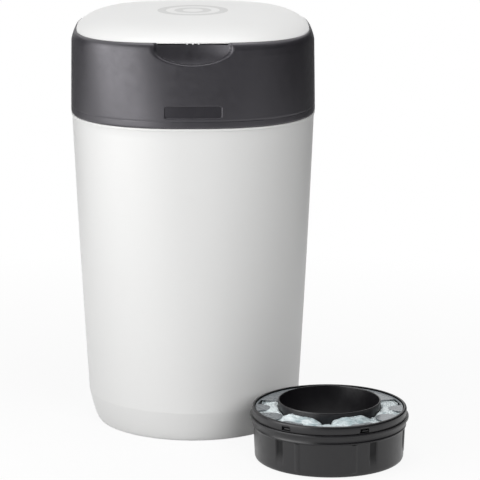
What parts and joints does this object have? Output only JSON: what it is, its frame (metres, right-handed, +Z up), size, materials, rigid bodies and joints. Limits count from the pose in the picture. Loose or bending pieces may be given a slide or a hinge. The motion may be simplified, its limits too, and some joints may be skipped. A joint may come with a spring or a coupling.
{
  "type": "nappy bin",
  "caption": "Lidded nappy bin with a lift-off dark head, twist ring and film fingers over a white bucket, and its film cassette beside it.",
  "frame": {"origin": "centre of the bucket's flat foot, on the floor", "axes": "+Z up, -Y is the front with the thumb recess, +X to the viewer's right"},
  "size_m": [0.3571, 0.3681, 0.4515],
  "materials": {
    "white_plastic": "smooth, satin-gloss white polypropylene",
    "charcoal_plastic": "fine moulded satin",
    "cassette_plastic": "thin moulded plastic, semi-gloss",
    "dark_plastic": "plain moulded",
    "smoke_plastic": "slippery moulded acetal",
    "guard_plastic": "translucent springy sheet",
    "grey_inlay": "flush matt inlay",
    "film": "thin crumpled film, soft sheen",
    "seal_rubber": "soft matt rubber",
    "steel": "plain zinc-plated or stainless"
  },
  "bodies": {
    "bucket": {"bucket": "white_plastic"},
    "head": {"head_shell": "charcoal_plastic", "head_base": "charcoal_plastic", "head_seal": "seal_rubber", "deck": "white_plastic", "deck_screws": "steel", "hinge_pin": "steel", "glide_ring": "smoke_plastic", "finger_ring": "dark_plastic", "finger_ring_screws": "steel", "pawl_pin": "steel", "pawl_spring": "steel", "cutter_guard": "dark_plastic", "cutter_blade": "steel", "cutter_screws": "steel"},
    "lid": {"lid_shell": "white_plastic", "lid_liner": "charcoal_plastic", "lid_seal": "seal_rubber", "lid_motif": "grey_inlay", "lid_screws": "steel"},
    "twist_ring": {"twist_ring": "white_plastic"},
    "pawl": {"click_pawl": "smoke_plastic"},
    "finger_1": {"finger_1": "smoke_plastic"},
    "finger_2": {"finger_2": "smoke_plastic"},
    "finger_3": {"finger_3": "smoke_plastic"},
    "finger_4": {"finger_4": "smoke_plastic"},
    "finger_5": {"finger_5": "smoke_plastic"},
    "finger_6": {"finger_6": "smoke_plastic"},
    "cassette": {"cassette_tub": "cassette_plastic", "cassette_core": "cassette_plastic", "cassette_collar": "cassette_plastic", "film_pack": "film", "film_guard": "guard_plastic"}
  },
  "joints": [
    {"name": "head_lift", "type": "slide", "parent": "bucket", "child": "head", "axis": [0, 0, 1], "range_m": [0, 0.12]},
    {"name": "lid_hinge", "type": "hinge", "parent": "head", "child": "lid", "pos_m": [0, 0.1215, 0.433], "axis": [-1, 0, 0], "range_deg": [0, 95]},
    {"name": "ring_turn", "type": "hinge", "parent": "head", "child": "twist_ring", "pos_m": [0, 0, 0.3502], "axis": [0, 0, 1], "continuous": true},
    {"name": "pawl_swing", "type": "hinge", "parent": "head", "child": "pawl", "pos_m": [-0.09891, 0.0265, 0.3567], "axis": [0, 0, -1], "range_deg": [0, 10], "stiffness_Nm_per_rad": 0.02, "springref_deg": -11.46},
    {"name": "finger_1_bend", "type": "hinge", "parent": "head", "child": "finger_1", "pos_m": [0.065, 0, 0.3375], "axis": [0, -1, 0], "range_deg": [0, 45], "stiffness_Nm_per_rad": 0.01, "springref_deg": -20.05},
    {"name": "finger_2_bend", "type": "hinge", "parent": "head", "child": "finger_2", "pos_m": [0.0325, 0.05629, 0.3375], "axis": [0.866, -0.5, 0], "range_deg": [0, 45], "stiffness_Nm_per_rad": 0.01, "springref_deg": -20.05},
    {"name": "finger_3_bend", "type": "hinge", "parent": "head", "child": "finger_3", "pos_m": [-0.0325, 0.05629, 0.3375], "axis": [0.866, 0.5, 0], "range_deg": [0, 45], "stiffness_Nm_per_rad": 0.01, "springref_deg": -20.05},
    {"name": "finger_4_bend", "type": "hinge", "parent": "head", "child": "finger_4", "pos_m": [-0.065, 0, 0.3375], "axis": [0, 1, 0], "range_deg": [0, 45], "stiffness_Nm_per_rad": 0.01, "springref_deg": -20.05},
    {"name": "finger_5_bend", "type": "hinge", "parent": "head", "child": "finger_5", "pos_m": [-0.0325, -0.05629, 0.3375], "axis": [-0.866, 0.5, 0], "range_deg": [0, 45], "stiffness_Nm_per_rad": 0.01, "springref_deg": -20.05},
    {"name": "finger_6_bend", "type": "hinge", "parent": "head", "child": "finger_6", "pos_m": [0.0325, -0.05629, 0.3375], "axis": [-0.866, -0.5, 0], "range_deg": [0, 45], "stiffness_Nm_per_rad": 0.01, "springref_deg": -20.05},
    {"name": "cassette_lift", "type": "slide", "parent": "bucket", "child": "cassette", "axis": [0, 0, 1], "range_m": [0, 0.15]}
  ],
  "couplings": [
    {"joint": "finger_2_bend", "follows": "finger_1_bend", "ratio": 1},
    {"joint": "finger_3_bend", "follows": "finger_1_bend", "ratio": 1},
    {"joint": "finger_4_bend", "follows": "finger_1_bend", "ratio": 1},
    {"joint": "finger_5_bend", "follows": "finger_1_bend", "ratio": 1},
    {"joint": "finger_6_bend", "follows": "finger_1_bend", "ratio": 1}
  ]
}
